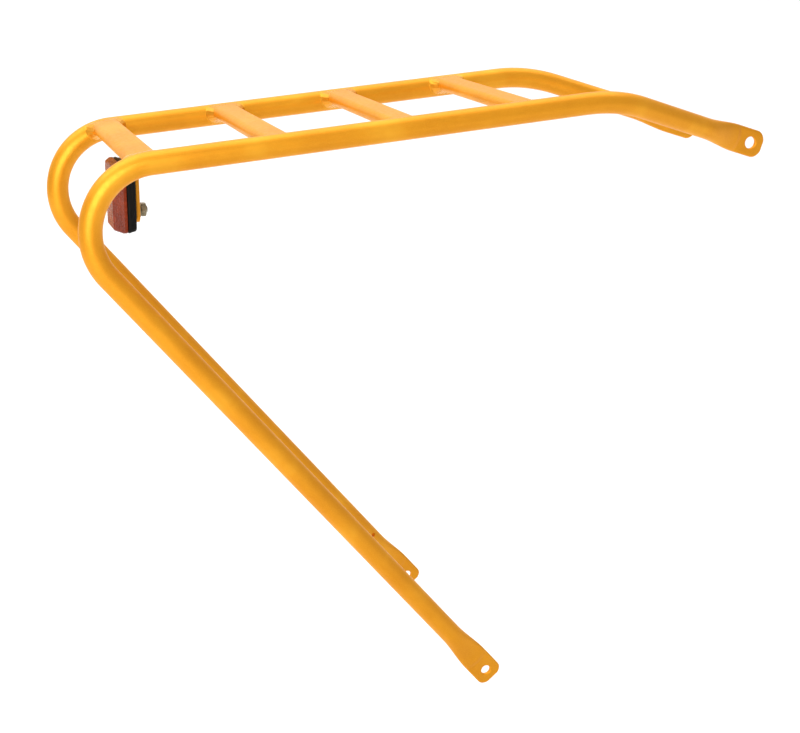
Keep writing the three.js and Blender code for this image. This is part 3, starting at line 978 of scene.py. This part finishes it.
def make_holed(node, profile, sides, smooth_angle):
    """A zinc piece with a hole, turned on the stud's axis from a closed profile."""
    count = len(profile)
    faces = rings_to_faces(count, sides, closed_ends=False)
    last = (count - 1) * sides
    for k in range(sides):
        n = (k + 1) % sides
        faces.append((last + k, last + n, n, k))
    points = turned_points(profile, sides)
    piece(node, points, faces, ZINC, "reflector", smooth_angle)


def make_washer():
    """A plain washer with broken outer edges."""
    inner = STUD_RADIUS + 0.35
    low, high, bevel = 0.3, 1.3, 0.15
    profile = [(low, inner), (low, WASHER_RADIUS - bevel), (low + bevel, WASHER_RADIUS),
               (high - bevel, WASHER_RADIUS), (high, WASHER_RADIUS - bevel), (high, inner)]
    make_holed("reflector_washer", profile, 64, 35)


def make_nut():
    """A hexagon nut with its corners chamfered on both faces."""
    low, high = NUT_LOW, NUT_HIGH
    flat = NUT_ACROSS_FLATS / 2
    inner = STUD_RADIUS + STUD_CLEARANCE

    def hexagon(cap):
        """The hexagon's radius at a turn, no larger than the cap."""
        def radius(turn):
            third = math.pi / 3
            within = (turn % third) - third / 2
            return min(flat / math.cos(within), cap)
        return radius

    corner = flat / math.cos(math.pi / 6)
    profile = [(low + 0.45, inner), (low, inner + 0.45), (low, flat - 0.1),
               (low + 0.25, hexagon(corner - 0.35)), (low + 0.55, hexagon(corner)),
               (high - 0.55, hexagon(corner)), (high - 0.25, hexagon(corner - 0.35)),
               (high, flat - 0.1), (high, inner + 0.45), (high - 0.45, inner)]
    make_holed("reflector_nut", profile, 96, 22)


def make_stud():
    """The stud with a real thread on its free length."""
    pitch, thread_depth, chamfer, crest_width = 0.8, 0.42, 0.7, 1.25
    start, end = BOSS_FRONT - 5.9, STUD_END
    sides = 36
    root = STUD_RADIUS - thread_depth
    points = []
    steps = int((end - start) / 0.1)
    for i in range(steps + 1):
        x = start + (end - start) * i / steps
        limit = STUD_RADIUS - chamfer * (1 - min(1.0, (end - x) / chamfer))
        for k in range(sides):
            turn = 2 * math.pi * k / sides
            phase = (x / pitch - k / sides) % 1.0
            crest = min(1.0, crest_width * abs(2 * phase - 1))
            r = min(limit, root + thread_depth * crest)
            points.append(TO_RACK @ Vector((x, r * math.cos(turn), r * math.sin(turn))))
    faces = rings_to_faces(steps + 1, sides)
    piece("reflector_stud", points, faces, DARK_ZINC, "reflector", 50)


# ---- build the object -------------------------------------------------------------------

SIDES = {"right": -1, "left": 1}

for side_name, side_sign in SIDES.items():
    make_rail(side_name, side_sign)
for bar_index in range(BAR_COUNT):
    make_bar(bar_index)
    for side_name, side_sign in SIDES.items():
        make_bead(bar_index, side_name, side_sign)
make_bracket()
make_bracket_bead()
make_housing()
make_lens()
make_washer()
make_nut()
make_stud()


# ---- floor, light and camera ------------------------------------------------------------

def make_floor():
    """A pale floor that sweeps up into a plain wall well behind the object."""
    level = CAD_LOW.z - FLOOR_DROP
    half_width, front, middle = 12.0, -12.0, -2.0
    sweep_start, sweep_radius, sweep_steps, wall_top = 2.2, 1.2, 24, 6.0
    profile = [(front, level), (middle, level), (sweep_start, level)]
    for k in range(1, sweep_steps + 1):
        angle = math.pi / 2 * k / sweep_steps
        profile.append((sweep_start + sweep_radius * math.sin(angle),
                        level + sweep_radius * (1 - math.cos(angle))))
    profile.append((sweep_start + sweep_radius, wall_top))
    points = []
    for y, z in profile:
        for x in (-half_width, half_width):
            points.append((x, y, z))
    faces = [(2 * i, 2 * i + 1, 2 * i + 3, 2 * i + 2) for i in range(len(profile) - 1)]
    mesh = bpy.data.meshes.new("floor")
    mesh.from_pydata(points, [], faces)
    mesh.polygons.foreach_set("use_smooth", [True] * len(faces))
    made = bpy.data.objects.new("floor", mesh)
    bpy.context.scene.collection.objects.link(made)
    mesh.materials.append(floor_material())


def area_light(name, place, target, size, power):
    """A soft white panel in metres and watts, aimed at a target and not seen itself."""
    data = bpy.data.lights.new(name, "AREA")
    data.shape = "RECTANGLE"
    data.size, data.size_y = size
    data.energy = power
    made = bpy.data.objects.new(name, data)
    made.location = place
    direction = Vector(target) - Vector(place)
    made.rotation_euler = direction.to_track_quat("-Z", "Y").to_euler()
    made.visible_camera = False
    bpy.context.scene.collection.objects.link(made)


def make_world(strength):
    """Even white light from all round."""
    world = bpy.data.worlds.new("studio")
    bpy.context.scene.world = world
    world.use_nodes = True
    background = world.node_tree.nodes["Background"]
    background.inputs["Color"].default_value = (1, 1, 1, 1)
    background.inputs["Strength"].default_value = strength


def make_camera():
    """The photograph's viewpoint: where the camera stands and its three turns, no shift."""
    place = Vector((-0.321277, -0.900224, 0.534891))
    yaw, pitch, roll = 0.324, 0.338, -0.075
    focal_pixels, frame_width, sensor = 1462.987, 800, 36.0
    forward = Vector((math.sin(yaw) * math.cos(pitch), math.cos(yaw) * math.cos(pitch),
                      -math.sin(pitch)))
    flat_right = forward.cross(Vector((0, 0, 1))).normalized()
    flat_up = flat_right.cross(forward)
    right = flat_right * math.cos(roll) + flat_up * math.sin(roll)
    up = flat_up * math.cos(roll) - flat_right * math.sin(roll)
    data = bpy.data.cameras.new("camera")
    data.sensor_width = sensor
    data.lens = sensor * focal_pixels / frame_width
    data.clip_end = 100
    made = bpy.data.objects.new("camera", data)
    made.matrix_world = Matrix((
        (right.x, up.x, -forward.x, place.x),
        (right.y, up.y, -forward.y, place.y),
        (right.z, up.z, -forward.z, place.z),
        (0, 0, 0, 1)))
    bpy.context.scene.collection.objects.link(made)
    bpy.context.scene.camera = made


make_floor()
bpy.context.scene.view_settings.view_transform = "Standard"
make_world(0.48)
MIDDLE = (CAD_LOW + CAD_HIGH) / 2
area_light("sky", Vector((0.0, 1.6, 3.4)), Vector((0.0, 1.6, 0.0)), size=(7.0, 4.0), power=145)
area_light("overhead", MIDDLE + Vector((-0.4, -0.1, 1.3)), MIDDLE, size=(1.2, 0.9), power=2)
area_light("key", MIDDLE + Vector((-0.9, -1.45, 0.6)), MIDDLE, size=(1.5, 1.5), power=25)
make_camera()
